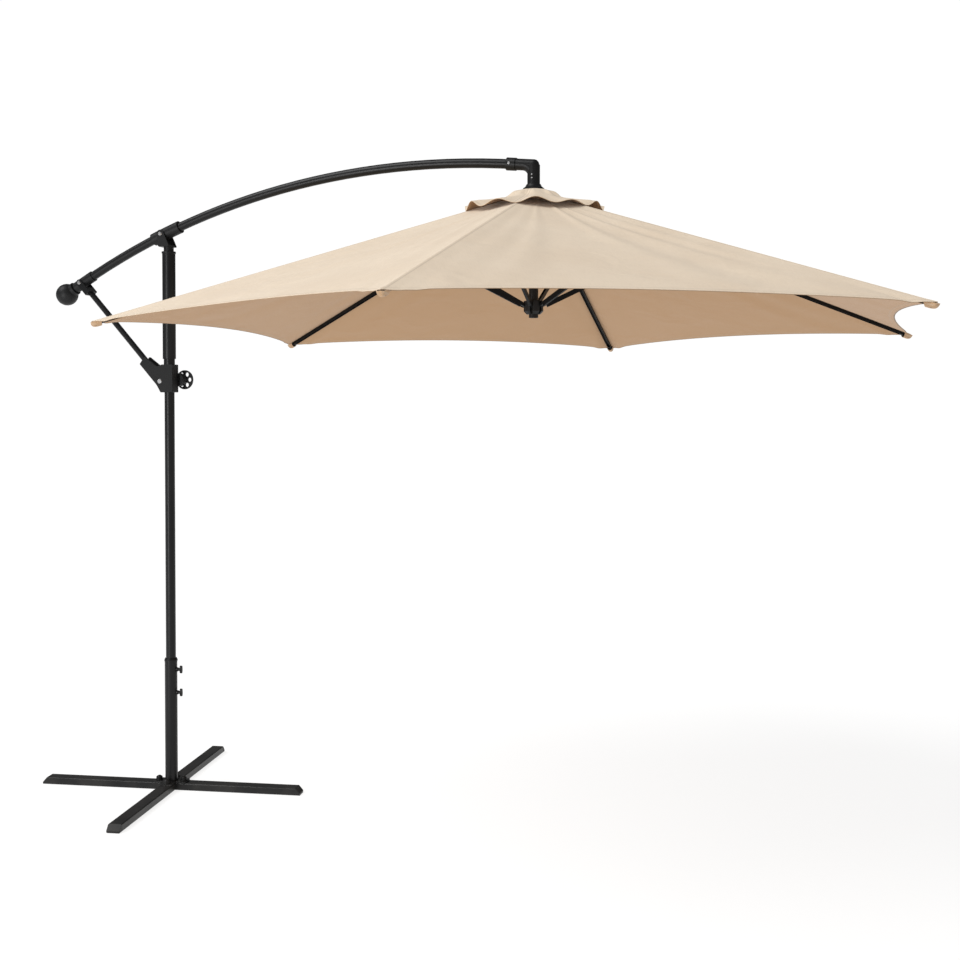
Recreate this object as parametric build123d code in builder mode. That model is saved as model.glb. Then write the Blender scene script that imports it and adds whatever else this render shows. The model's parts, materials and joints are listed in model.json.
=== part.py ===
"""Cantilever patio umbrella on a cross base: one STEP file for each real piece.

Frame: the origin is on the ground under the mast, +X runs along the arm to the
canopy and +Z is up.  The canopy hub hangs from the arm at X = hub_x.
"""

import os
from math import asin, atan2, cos, degrees, pi, radians, sin, sqrt, tan

from build123d import *

os.makedirs("parts", exist_ok=True)

# clearances
seat_gap = 0.3  # between a soft or moving piece and its seat
slide_gap = 0.08  # radial, on a running fit
side_gap = 0.5  # each side of a plate that turns beside another
weld_gap = 0.05  # radial, between two fixed tubes

# cross base
base_turn = 11.2  # degrees, legs against the arm
leg_span = 1048
leg_width = 50
leg_height = 28
leg_wall = 1.5
leg_bevel = 22  # run of the sloping end
cap_plug = 30  # length of an end cap inside its leg
plate_side = 134
plate_thick = 5
bolt_offset = 50  # from the mast axis, along each leg
bolt_head = 12  # radius of the domed cap
bolt_boss = 9
washer_thick = 2
leg_corner = 4
lip_flare = 1.5  # lip beyond the tube's own wall

# base tube and mast
mast_r = 19
base_tube_wall = 2
bush_wall = 3
base_tube_r = mast_r + bush_wall + base_tube_wall
base_tube_top = 500
lip_height = 12
bush_height = 30
mast_wall = 1.5
mast_top = 2092
sleeve_step = 6  # sleeve beyond the mast, radial
sleeve_r = mast_r + sleeve_step
sleeve_low = 1677
sleeve_end = 14  # solid ring at each end of the sleeve
reducer_step = 2
reducer_r = mast_r + reducer_step
reducer_height = 22
bead_lip = 2
bead_r = sleeve_r + bead_lip
bead_height = 8

# thumbscrews
screw_heights = (467, 377)
screw_r = 4
screw_head_r = 15
screw_head_thick = 9
screw_reach = 17  # grip centre beyond the base tube
screw_head_x = base_tube_r + screw_reach
boss_r = 8
boss_length = 5

# arm
arm_r = 17
arm_wall = 1.5
arc_r = 3029
peak_x = 1058
peak_z = 2357
ball_x = -475
ball_r = 43
pivot_x = -20  # hinge on the mast top
strut_x = -399  # hinge of the strut
collar_r = 24
collar_back = 46
collar_front = 72
rear_collar_r = 21
rear_collar_reach = 50
cheek_thick = 4
rivet_r = 5
rivet_head_r = 8
rivet_head = 4

# strut and housing
strut_r = 11
fork_length = 58
fork_slot = 36
fork_half = 12
strut_plug = 34  # solid end before the eye
tongue_thick = 10
eye_r = 10
eye_bore = 7
pin_r = 3
pin_back = 11  # housing pin behind the mast's skin
housing_pin_x = -mast_r - pin_back
housing_pin_z = 1590
housing_side = 2  # skin beside the mast
housing_half = mast_r + housing_side
housing_low = 1547
housing_high = 1655
housing_nose = 7
housing_front = mast_r + housing_nose
ear_reach = 118
ear_web = 4.5
ear_gap = 5  # between the strut and the web behind it
housing_wall = 4

# crank
wheel_r = 37.5
wheel_thick = 8
wheel_gap = 8  # wheel centre before the housing
wheel_x = housing_front + wheel_gap
wheel_z = 1597
wheel_holes = 6
wheel_hole_r = 8.5
shaft_r = 5
gear_depth = 26
box_r = 25

# hub under the elbow
hub_x = 1478
elbow_x = 1381  # where the casting starts on the arm
elbow_r = 20
elbow_step_r = 22.5  # short collar on the arm
elbow_step = 34
elbow_bend = 44
elbow_low = 2262
elbow_plug = 40  # arm tube inside the elbow
skirt_r = 38
skirt_height = 24
pole_r = 16.5
pole_wall = 1.5
drop_wall = 5.5  # casting beyond the pole, radial
elbow_drop_r = pole_r + drop_wall
core_gap = 0.9  # around the pole inside the casting
plug_gap = 0.4  # around the arm inside the casting
pole_low = 1800
crown_r = 44
crown_below = 17  # under the rib pivots
crown_above = 7
crown_z = 2219
crown_pivot_r = 30
disc_r = 50
disc_thick = 9
runner_r = 34
runner_low = 1812
runner_height = 46
runner_taper = 10
runner_pivot_r = 24
runner_pivot_z = 1838
hinge_pin_r = 2.5

# canopy
ribs = 6
canopy_turn = 33  # degrees, first rib against the arm
tip_r = 1459
tip_z = 1759
rib_width = 16
rib_height = 12
rib_wall = 0.8
tongue_width = 8
bracket_at = 480  # along the rib
bracket_drop = 14
bracket_width = 16
stretcher_width = 9
stretcher_up = 5.5  # channel above its pins' line
stretcher_down = 11.5
tip_length = 34
tip_knob_r = 8
tongue_half = 5
tongue_eye = 6
link_eye = 5
cloth = 1.0
vent_r = 110
corner_reach = 8  # cloth corner beyond the rib's end
scallop = 80
flap_r = 246
flap_inner = 48
flap_fall = 0.36
flap_scallop = 14
cord_r = 2

# dependent sizes
arc_centre_z = peak_z - arc_r
rib_fall = atan2(crown_z - tip_z, tip_r - crown_pivot_r)
half_sector = pi / ribs
mast_low = leg_height + plate_thick
skirt_low = elbow_low - skirt_height
clevis_inner = collar_r + side_gap
plate_top = leg_height + plate_thick
bore_r = base_tube_r - base_tube_wall
tube_end = leg_span / 2 - leg_bevel
half_height = rib_height / 2


def arc_z(x):
    """Height of the arm's centre line at x."""
    return arc_centre_z + sqrt(arc_r**2 - (x - peak_x) ** 2)


def arc_fall(x):
    """Slope of the arm at x, in degrees below level towards +X."""
    return degrees(asin((x - peak_x) / arc_r))


def arm_frame(x):
    """Plane across the arm at x, with its normal along the arm towards +X."""
    fall = radians(arc_fall(x))
    return Plane(origin=(x, 0, arc_z(x)), x_dir=(0, 1, 0), z_dir=(cos(fall), 0, -sin(fall)))


def side_plane(y=0.0):
    """Sketch plane with X along the arm and Y up, at a distance towards -Y."""
    return Plane(origin=(0, -y, 0), x_dir=(1, 0, 0), z_dir=(0, -1, 0))


def rib_plane(k):
    """Sketch plane through the hub and rib k: x outwards, y up."""
    turn = radians(canopy_turn) + 2 * pi * k / ribs
    return Plane(
        origin=(hub_x, 0, 0),
        x_dir=(cos(turn), sin(turn), 0),
        z_dir=(sin(turn), -cos(turn), 0),
    )


def along(start, angle, distance, offset=0.0):
    """Point at a distance along a direction, with an offset to its left."""
    return (
        start[0] + distance * cos(angle) - offset * sin(angle),
        start[1] + distance * sin(angle) + offset * cos(angle),
    )


def bar(start, angle, near, far, low, high):
    """Corners of a bar along a direction, between two offsets."""
    return [
        along(start, angle, near, low),
        along(start, angle, far, low),
        along(start, angle, far, high),
        along(start, angle, near, high),
    ]


def keep(builder, name):
    """Label the finished piece and write its file."""
    piece = builder.part
    piece.label = name
    export_step(piece, f"parts/{name}.step")
    volume = sum(s.volume for s in piece.solids())
    print(f"{name}: {len(piece.solids())} solid(s), {volume / 1000:.1f} cm3")


# ---------------------------------------------------------------- cross base
base_dir = radians(base_turn)


def leg_section(plane):
    """Rounded hollow section of a leg, drawn on a plane across it."""
    with BuildSketch(plane) as section:
        with Locations((0, leg_height / 2)):
            RectangleRounded(leg_width, leg_height, leg_corner)
            RectangleRounded(
                leg_width - 2 * leg_wall,
                leg_height - 2 * leg_wall,
                leg_corner - leg_wall,
                mode=Mode.SUBTRACT,
            )
    return section.sketch


def across(distance, turn):
    """Plane across a leg, its normal pointing outwards from the mast."""
    a = radians(base_turn + turn)
    return Plane(
        origin=(distance * cos(a), distance * sin(a), 0),
        x_dir=(-sin(a), cos(a), 0),
        z_dir=(cos(a), sin(a), 0),
    )


def screw_plane(height):
    """Plane through the mast axis across a thumbscrew, its normal along the screw."""
    return Plane(
        origin=(0, 0, height), x_dir=(0, 0, 1), z_dir=(cos(base_dir), sin(base_dir), 0)
    )


with BuildPart() as base_leg_long:
    extrude(leg_section(across(0, 0)), amount=tube_end, both=True)
keep(base_leg_long, "base_leg_long")

with BuildPart() as base_leg_halves:
    for side in (90, 270):
        extrude(leg_section(across(leg_width / 2, side)), amount=tube_end - leg_width / 2)
keep(base_leg_halves, "base_leg_halves")

with BuildPart() as base_end_caps:
    for side in (0, 90, 180, 270):
        with BuildSketch(across(tube_end, side)):
            with Locations((0, leg_height / 2)):
                RectangleRounded(leg_width, leg_height, leg_corner)
        extrude(amount=leg_bevel)
        with BuildSketch(across(tube_end - cap_plug, side)):
            with Locations((0, leg_height / 2)):
                RectangleRounded(
                    leg_width - 2 * leg_wall - 1, leg_height - 2 * leg_wall - 1, 2
                )
        extrude(amount=cap_plug)
        a = radians(base_turn + side)
        bevel_plane = Plane(origin=(0, 0, 0), x_dir=(cos(a), sin(a), 0), z_dir=(sin(a), -cos(a), 0))
        with BuildSketch(bevel_plane):
            with BuildLine():
                Polyline(
                    (tube_end + 4, leg_height + 1),
                    (leg_span / 2 + 1, leg_height + 1),
                    (leg_span / 2 + 1, 7),
                    close=True,
                )
            make_face()
        extrude(amount=leg_width, both=True, mode=Mode.SUBTRACT)
keep(base_end_caps, "base_end_caps")

with BuildPart() as base_plate:
    with BuildSketch(Plane.XY.offset(leg_height).rotated((0, 0, base_turn))):
        RectangleRounded(plate_side, leg_width, 6)
        RectangleRounded(leg_width, plate_side, 6)
    extrude(amount=plate_thick)
keep(base_plate, "base_plate")

with BuildPart() as base_bolts:
    with BuildSketch(Plane.XY.offset(plate_top).rotated((0, 0, base_turn))):
        with PolarLocations(bolt_offset, 4):
            Circle(bolt_head + washer_thick)
    extrude(amount=washer_thick)
    with BuildSketch(Plane.XY.offset(plate_top + washer_thick).rotated((0, 0, base_turn))):
        with PolarLocations(bolt_offset, 4):
            Circle(bolt_head)
    extrude(amount=bolt_boss)
    with Locations(Location((0, 0, plate_top + washer_thick + bolt_boss), (0, 0, base_turn))):
        with PolarLocations(bolt_offset, 4):
            Sphere(bolt_head, arc_size1=0)
keep(base_bolts, "base_bolts")

with BuildPart() as base_tube:
    with BuildSketch(Plane.XY.offset(plate_top)):
        Circle(base_tube_r)
        Circle(bore_r, mode=Mode.SUBTRACT)
    extrude(amount=base_tube_top - plate_top)
    for height in screw_heights:
        with BuildSketch(screw_plane(height)):
            Circle(screw_r + slide_gap)
        extrude(amount=base_tube_r + 2, mode=Mode.SUBTRACT)
    with BuildSketch(Plane.XZ):
        with BuildLine():
            Polyline(
                (mast_r + slide_gap, base_tube_top),
                (base_tube_r + lip_flare, base_tube_top),
                (base_tube_r + lip_flare, base_tube_top + 0.4 * lip_height),
                (base_tube_r - lip_flare, base_tube_top + lip_height),
                (mast_r + slide_gap, base_tube_top + lip_height),
                close=True,
            )
        make_face()
    revolve(axis=Axis.Z)
keep(base_tube, "base_tube")

with BuildPart() as base_bushings:
    for low in (plate_top + 4, base_tube_top - bush_height):
        with BuildSketch(Plane.XY.offset(low)):
            Circle(bore_r - weld_gap)
            Circle(mast_r + slide_gap, mode=Mode.SUBTRACT)
        extrude(amount=bush_height)
    for height in screw_heights:
        with BuildSketch(screw_plane(height)):
            Circle(screw_r + 1)
        extrude(amount=base_tube_r, mode=Mode.SUBTRACT)
keep(base_bushings, "base_bushings")

with BuildPart() as thumbscrew_bosses:
    for height in screw_heights:
        with BuildSketch(screw_plane(height).offset(base_tube_r - 0.8)):
            Circle(boss_r)
            Circle(screw_r + slide_gap, mode=Mode.SUBTRACT)
        extrude(amount=boss_length + 0.8)
    Cylinder(base_tube_r, 2 * base_tube_top, mode=Mode.SUBTRACT)
keep(thumbscrew_bosses, "thumbscrew_bosses")

for name, height in zip(("thumbscrew_upper", "thumbscrew_lower"), screw_heights):
    with BuildPart() as thumbscrew:
        axis_plane = screw_plane(height)
        with BuildSketch(axis_plane.offset(mast_r + seat_gap)):
            Circle(screw_r)
        extrude(amount=screw_head_x - mast_r - seat_gap)
        with BuildSketch(axis_plane.offset(base_tube_r + boss_length + 1)):
            Circle(screw_r + 2)
        extrude(amount=screw_head_x - base_tube_r - boss_length - 1)
        with BuildSketch(axis_plane.offset(screw_head_x - screw_head_thick / 2)):
            Ellipse(screw_head_r, 5)
        extrude(amount=screw_head_thick)
    keep(thumbscrew, name)

# ---------------------------------------------------------------------- mast
with BuildPart() as mast_tube:
    with BuildSketch(Plane.XY.offset(mast_low)):
        Circle(mast_r)
        Circle(mast_r - mast_wall, mode=Mode.SUBTRACT)
    extrude(amount=mast_top - mast_low)
keep(mast_tube, "mast_tube")

with BuildPart() as mast_sleeve:
    with BuildSketch(Plane.XY.offset(sleeve_low)):
        Circle(sleeve_r)
        Circle(mast_r + weld_gap, mode=Mode.SUBTRACT)
    extrude(amount=mast_top - bead_height - sleeve_low)
    with BuildSketch(Plane.XY.offset(sleeve_low + sleeve_end)):
        Circle(sleeve_r - mast_wall)
        Circle(mast_r + weld_gap, mode=Mode.SUBTRACT)
    extrude(amount=mast_top - bead_height - sleeve_low - 2 * sleeve_end, mode=Mode.SUBTRACT)
    with BuildSketch(Plane.XY.offset(mast_top - bead_height)):
        Circle(bead_r)
        Circle(mast_r + weld_gap, mode=Mode.SUBTRACT)
    extrude(amount=bead_height)
    fillet(mast_sleeve.edges().filter_by(GeomType.CIRCLE).sort_by(SortBy.RADIUS)[-2:], 1.5)
keep(mast_sleeve, "mast_sleeve")

with BuildPart() as mast_reducer:
    with BuildSketch(Plane.XY.offset(sleeve_low - reducer_height)):
        Circle(reducer_r)
        Circle(mast_r + weld_gap, mode=Mode.SUBTRACT)
    extrude(amount=reducer_height)
keep(mast_reducer, "mast_reducer")

pivot_z = arc_z(pivot_x)
cheek_outer = clevis_inner + cheek_thick
with BuildPart() as mast_clevis:
    with BuildSketch(Plane.XY.offset(mast_top)):
        Circle(mast_r)
    extrude(amount=18)
    with BuildSketch(Plane.XY.offset(mast_top + 18)):
        with Locations((-6, 0)):
            RectangleRounded(48, 2 * cheek_outer, 6)
    extrude(amount=6)
    with BuildSketch(side_plane()):
        with Locations((pivot_x, pivot_z)):
            Circle(16)
        with BuildLine():
            Polyline(
                (pivot_x - 10, mast_top + 20),
                (18, mast_top + 20),
                (pivot_x + 14, pivot_z + 6),
                (pivot_x - 14, pivot_z + 6),
                close=True,
            )
        make_face()
    extrude(amount=cheek_outer, both=True)
    with BuildSketch(side_plane()):
        with Locations((pivot_x, pivot_z)):
            Rectangle(120, 2 * (pivot_z - mast_top - 24))
    extrude(amount=clevis_inner, both=True, mode=Mode.SUBTRACT)
    with BuildSketch(Plane.XY.offset(mast_top)):
        Circle(6)
    extrude(amount=30, mode=Mode.SUBTRACT)
    with BuildSketch(side_plane()):
        with Locations((pivot_x, pivot_z)):
            Circle(rivet_r + weld_gap)
    extrude(amount=cheek_outer + 1, both=True, mode=Mode.SUBTRACT)
keep(mast_clevis, "mast_clevis")


def rivet(at_x, at_z, radius, half, head_r, head):
    """Through pin across the arm plane with a low domed head at each end."""
    with BuildSketch(side_plane()) as shank:
        with Locations((at_x, at_z)):
            Circle(radius)
    extrude(shank.sketch, amount=half, both=True)
    for sign in (1, -1):
        with BuildSketch(Plane((0, -sign * half, 0), x_dir=(1, 0, 0), z_dir=(0, -sign, 0))) as face:
            with Locations((at_x, sign * at_z)):
                Circle(head_r)
        extrude(face.sketch, amount=head, taper=25)


with BuildPart() as pivot_rivet:
    rivet(pivot_x, pivot_z, rivet_r, cheek_outer, rivet_head_r, rivet_head)
keep(pivot_rivet, "pivot_rivet")

# ----------------------------------------------------------------------- arm
with BuildPart() as arm_tube:
    with BuildLine(side_plane()):
        ThreePointArc(
            (ball_x + 30, arc_z(ball_x + 30)),
            (peak_x, peak_z),
            (elbow_x + elbow_plug, arc_z(elbow_x + elbow_plug)),
        )
    with BuildSketch(arm_frame(ball_x + 30)):
        Circle(arm_r)
        Circle(arm_r - arm_wall, mode=Mode.SUBTRACT)
    sweep()
    with BuildSketch(side_plane()):
        with Locations((pivot_x, pivot_z), (strut_x, arc_z(strut_x))):
            Circle(rivet_r + slide_gap)
    extrude(amount=2 * arm_r, both=True, mode=Mode.SUBTRACT)
keep(arm_tube, "arm_tube")

with BuildPart() as arm_ball:
    with Locations((ball_x, 0, arc_z(ball_x))):
        Sphere(ball_r)
    with BuildSketch(arm_frame(ball_x)):
        Circle(26)
    extrude(amount=ball_r + 4)
    with BuildSketch(arm_frame(ball_x + 26)):
        Circle(arm_r + weld_gap)
    extrude(amount=60, mode=Mode.SUBTRACT)
    with Locations((ball_x, 0, arc_z(ball_x))):
        Sphere(ball_r - 14, mode=Mode.SUBTRACT)
keep(arm_ball, "arm_ball")


def arm_sleeve(start_x, end_x, radius):
    """Sleeve around the arm between two places."""
    with BuildLine(side_plane()) as route:
        middle = (start_x + end_x) / 2
        ThreePointArc(
            (start_x, arc_z(start_x)), (middle, arc_z(middle)), (end_x, arc_z(end_x))
        )
    with BuildSketch(arm_frame(start_x)) as section:
        Circle(radius)
        Circle(arm_r + weld_gap, mode=Mode.SUBTRACT)
    sweep(section.sketch, path=route.line)


with BuildPart() as arm_collar:
    arm_sleeve(pivot_x - collar_back, pivot_x + collar_front, collar_r)
    with BuildSketch(side_plane()):
        with Locations((pivot_x, pivot_z)):
            Circle(rivet_r + slide_gap)
    extrude(amount=2 * arm_r, both=True, mode=Mode.SUBTRACT)
keep(arm_collar, "arm_collar")

strut_z = arc_z(strut_x)
with BuildPart() as rear_collar:
    arm_sleeve(ball_x + 46, strut_x + rear_collar_reach, rear_collar_r)
    with BuildSketch(side_plane()):
        with Locations((strut_x, strut_z)):
            Circle(rivet_r + slide_gap)
    extrude(amount=2 * arm_r, both=True, mode=Mode.SUBTRACT)
keep(rear_collar, "rear_collar")

fork_inner = rear_collar_r + side_gap
fork_outer = fork_inner + cheek_thick
with BuildPart() as rear_rivet:
    rivet(strut_x, strut_z, rivet_r, fork_outer + 0.2, rivet_head_r, rivet_head)
keep(rear_rivet, "rear_rivet")

# --------------------------------------------------------------------- strut
strut_angle = atan2(housing_pin_z - strut_z, housing_pin_x - strut_x)
strut_length = sqrt((housing_pin_z - strut_z) ** 2 + (housing_pin_x - strut_x) ** 2)
strut_top = (strut_x, strut_z)
with BuildPart() as strut_fork:
    with BuildSketch(side_plane()):
        with Locations(strut_top):
            Circle(fork_half + 1)
        Polygon(*bar(strut_top, strut_angle, 0, fork_length, -fork_half, fork_half), align=None)
    extrude(amount=fork_outer, both=True)
    with BuildSketch(side_plane()):
        with Locations(strut_top):
            Circle(fork_half + 2)
        Polygon(
            *bar(strut_top, strut_angle, 0, fork_slot, -fork_half - 2, fork_half + 2), align=None
        )
    extrude(amount=fork_inner, both=True, mode=Mode.SUBTRACT)
    with BuildSketch(side_plane()):
        with Locations(strut_top):
            Circle(rivet_r + slide_gap)
    extrude(amount=fork_outer + 1, both=True, mode=Mode.SUBTRACT)
keep(strut_fork, "strut_fork")

with BuildPart() as strut_tube:
    start = along(strut_top, strut_angle, fork_length)
    strut_plane = Plane(
        origin=(start[0], 0, start[1]),
        x_dir=(0, 1, 0),
        z_dir=(cos(strut_angle), 0, sin(strut_angle)),
    )
    with BuildSketch(strut_plane):
        Circle(strut_r)
    extrude(amount=strut_length - fork_length - strut_plug)
    with BuildSketch(strut_plane.offset(20)):
        Circle(strut_r - mast_wall)
    extrude(amount=strut_length - fork_length - strut_plug - 60, mode=Mode.SUBTRACT)
    with BuildSketch(side_plane()):
        Polygon(*bar(strut_top, strut_angle, strut_length - 60, strut_length, -eye_r, eye_r), align=None)
        with Locations((housing_pin_x, housing_pin_z)):
            Circle(eye_r)
    extrude(amount=tongue_thick / 2, both=True)
    with BuildSketch(side_plane()):
        with Locations((housing_pin_x, housing_pin_z)):
            Circle(eye_bore)
    extrude(amount=tongue_thick, both=True, mode=Mode.SUBTRACT)
keep(strut_tube, "strut_tube")

# ------------------------------------------------------------ housing, crank
pin = (housing_pin_x, housing_pin_z)
ear_angle = strut_angle + pi  # from the pin up to the arm's rear end
ear_side = strut_r + ear_gap
with BuildPart() as housing_body:
    with BuildSketch(side_plane()):
        Polygon(
            (housing_front, housing_low),
            (housing_front, housing_high),
            (-housing_half, housing_high),
            (-housing_half - 24, housing_high - 8),
            along(pin, ear_angle, ear_reach, -strut_r - 4),
            along(pin, ear_angle, ear_reach - 6, ear_side + ear_web),
            along(pin, ear_angle, 0, ear_side + ear_web),
            (-housing_half - 6, housing_low),
            align=None,
        )
    extrude(amount=housing_half, both=True)
    fillet(housing_body.edges().filter_by(Axis.Y), 3)
    with BuildSketch(Plane.XY.offset(housing_low - 1)):
        Circle(mast_r + slide_gap)
    extrude(amount=housing_high - housing_low + 2, mode=Mode.SUBTRACT)
    with BuildSketch(side_plane()):
        Polygon(
            (-mast_r + 4, pin[1] - eye_r - 8),
            (-mast_r + 4, housing_high - housing_wall),
            (-housing_half - 24, housing_high + 20),
            along(pin, ear_angle, ear_reach + 30, -strut_r - 30),
            along(pin, ear_angle, ear_reach + 30, ear_side),
            along(pin, ear_angle, 6, ear_side),
            (pin[0] - eye_r - ear_gap, pin[1] - eye_r - 8),
            align=None,
        )
    extrude(amount=strut_r + 1.2, both=True, mode=Mode.SUBTRACT)
    with BuildSketch(side_plane()):
        with Locations(pin):
            Circle(pin_r + weld_gap)
    extrude(amount=housing_half + 1, both=True, mode=Mode.SUBTRACT)
keep(housing_body, "housing_body")

with BuildPart() as housing_pin:
    rivet(pin[0], pin[1], pin_r, housing_half, 10, 3.5)
keep(housing_pin, "housing_pin")

box_centre = wheel_x - 12
with BuildPart() as crank_box:
    with BuildSketch(Plane.XZ.offset(-housing_half)):
        with Locations((box_centre, wheel_z)):
            Circle(box_r)
    extrude(amount=-gear_depth)
    with BuildSketch(Plane.XZ.offset(-housing_half - housing_wall)):
        with Locations((box_centre, wheel_z)):
            Circle(box_r - housing_wall)
    extrude(amount=-(gear_depth - 2 * housing_wall), mode=Mode.SUBTRACT)
    with BuildSketch(Plane.XZ.offset(-housing_half - housing_wall - 4)):
        with Locations((wheel_x, wheel_z)):
            Circle(shaft_r + slide_gap)
    extrude(amount=-gear_depth, mode=Mode.SUBTRACT)
keep(crank_box, "crank_box")

with BuildPart() as crank_drum:
    with BuildSketch(Plane.XZ.offset(-housing_half - housing_wall - 0.5)):
        with Locations((wheel_x, wheel_z)):
            Circle(shaft_r + 2)
    extrude(amount=-(gear_depth - 2 * housing_wall - 1))
    with BuildSketch(Plane.XZ.offset(-housing_half - housing_wall - 0.5)):
        with Locations((wheel_x, wheel_z)):
            Circle(shaft_r)
    extrude(amount=-(gear_depth + 4))
keep(crank_drum, "crank_drum")

wheel_low = housing_half + gear_depth + 3
with BuildPart() as crank_wheel:
    with BuildSketch(Plane.XZ.offset(-wheel_low)):
        with Locations((wheel_x, wheel_z)):
            Circle(wheel_r)
            Circle(shaft_r + weld_gap, mode=Mode.SUBTRACT)
            with PolarLocations(0.62 * wheel_r, wheel_holes):
                Circle(wheel_hole_r, mode=Mode.SUBTRACT)
    extrude(amount=-wheel_thick)
    fillet(crank_wheel.edges().filter_by(GeomType.CIRCLE).sort_by(SortBy.RADIUS)[-2:], 2.5)
keep(crank_wheel, "crank_wheel")

# -------------------------------------------------------------- elbow and hub
elbow_fall = tan(radians(arc_fall(elbow_x)))
elbow_corner = (hub_x, arc_z(elbow_x) - elbow_fall * (hub_x - elbow_x))
elbow_flat = (hub_x - elbow_x) / cos(radians(arc_fall(elbow_x)))


def elbow_core(radius):
    """Rod that follows the arm's centre line round the bend and down to the canopy pole."""
    with BuildLine(side_plane()) as route:
        FilletPolyline(
            (elbow_x, arc_z(elbow_x)), elbow_corner, (hub_x, elbow_low), radius=elbow_bend
        )
    with BuildSketch(arm_frame(elbow_x)) as section:
        Circle(radius)
    return section.sketch, route.line


with BuildPart() as arm_elbow:
    section, route = elbow_core(elbow_r)
    sweep(section, path=route)
    with BuildSketch(arm_frame(elbow_x)):
        Circle(elbow_r)
    extrude(amount=elbow_flat)
    with BuildSketch(arm_frame(elbow_x)):
        Circle(elbow_step_r)
    extrude(amount=elbow_step)
    with BuildSketch(Plane((hub_x, 0, elbow_low))):
        Circle(elbow_drop_r)
    extrude(amount=elbow_corner[1] - elbow_low)
    with Locations((hub_x, 0, elbow_corner[1])):
        Sphere(elbow_r)
    section, route = elbow_core(pole_r + core_gap)
    sweep(section, path=route, mode=Mode.SUBTRACT)
    with BuildSketch(arm_frame(elbow_x)):
        Circle(arm_r + plug_gap)
    extrude(amount=elbow_plug + 2, mode=Mode.SUBTRACT)
keep(arm_elbow, "arm_elbow")

with BuildPart() as elbow_screws:
    screw_at = elbow_x + 14
    with BuildSketch(side_plane(elbow_step_r + weld_gap)):
        with Locations((screw_at, arc_z(screw_at))):
            Circle(4)
    extrude(amount=3)
    for drop in (20, 32):
        with BuildSketch(side_plane(max(elbow_r, elbow_drop_r) + weld_gap)):
            with Locations((hub_x, elbow_low + drop)):
                Circle(2.5)
        extrude(amount=2)
keep(elbow_screws, "elbow_screws")

hub_axis = Axis((hub_x, 0, 0), (0, 0, 1))
with BuildPart() as elbow_skirt:
    with BuildSketch(side_plane()):
        with BuildLine():
            Polyline(
                (hub_x + pole_r + weld_gap, elbow_low),
                (hub_x + elbow_drop_r + 3, elbow_low),
                (hub_x + elbow_drop_r + 7, elbow_low - 8),
                (hub_x + skirt_r - 1, skirt_low + 10),
                (hub_x + skirt_r, skirt_low),
                (hub_x + skirt_r - 5, skirt_low),
                (hub_x + skirt_r - 7, skirt_low + 8),
                (hub_x + pole_r + weld_gap, skirt_low + 12),
                close=True,
            )
        make_face()
    revolve(axis=hub_axis)
keep(elbow_skirt, "elbow_skirt")

with BuildPart() as canopy_pole:
    with BuildSketch(Plane((hub_x, 0, pole_low))):
        Circle(pole_r)
        Circle(pole_r - pole_wall, mode=Mode.SUBTRACT)
    extrude(amount=elbow_low + 30 - pole_low)
keep(canopy_pole, "canopy_pole")

crown_low = crown_z - crown_below
crown_high = crown_z + crown_above
with BuildPart() as crown:
    with BuildSketch(Plane((hub_x, 0, crown_low))):
        Circle(crown_r)
        Circle(pole_r + weld_gap, mode=Mode.SUBTRACT)
    extrude(amount=crown_high - crown_low)
    for k in range(ribs):
        with BuildSketch(rib_plane(k)):
            Polygon(
                (crown_pivot_r - 8, crown_low - 1),
                (crown_r + 1, crown_low - 1),
                (crown_r + 1, crown_high + 1),
                (crown_pivot_r - 8, crown_high + 1),
                align=None,
            )
        extrude(amount=tongue_width / 2 + seat_gap, both=True, mode=Mode.SUBTRACT)
        with BuildSketch(rib_plane(k)):
            with Locations((crown_pivot_r, crown_z)):
                Circle(hinge_pin_r)
        extrude(amount=tongue_width / 2 + 4, both=True)
keep(crown, "crown")

disc_low = crown_high
with BuildPart() as crown_disc:
    with BuildSketch(Plane((hub_x, 0, disc_low))):
        Circle(disc_r)
        Circle(pole_r + weld_gap, mode=Mode.SUBTRACT)
    extrude(amount=disc_thick, taper=20)
keep(crown_disc, "crown_disc")

with BuildPart() as runner:
    with BuildSketch(Plane((hub_x, 0, runner_low))):
        Circle(runner_r)
        Circle(pole_r + slide_gap, mode=Mode.SUBTRACT)
    extrude(amount=runner_height)
    low_rings = runner.edges().filter_by(GeomType.CIRCLE).group_by(Axis.Z)[0]
    chamfer(low_rings.sort_by(SortBy.RADIUS)[-1], runner_taper)
    for k in range(ribs):
        with BuildSketch(rib_plane(k)):
            Polygon(
                (runner_pivot_r - link_eye - 0.5, runner_low - 1),
                (runner_r + 1, runner_low - 1),
                (runner_r + 1, runner_low + runner_height + 1),
                (runner_pivot_r - link_eye - 0.5, runner_low + runner_height + 1),
                align=None,
            )
        extrude(amount=stretcher_width / 2 + seat_gap, both=True, mode=Mode.SUBTRACT)
keep(runner, "runner")

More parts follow.
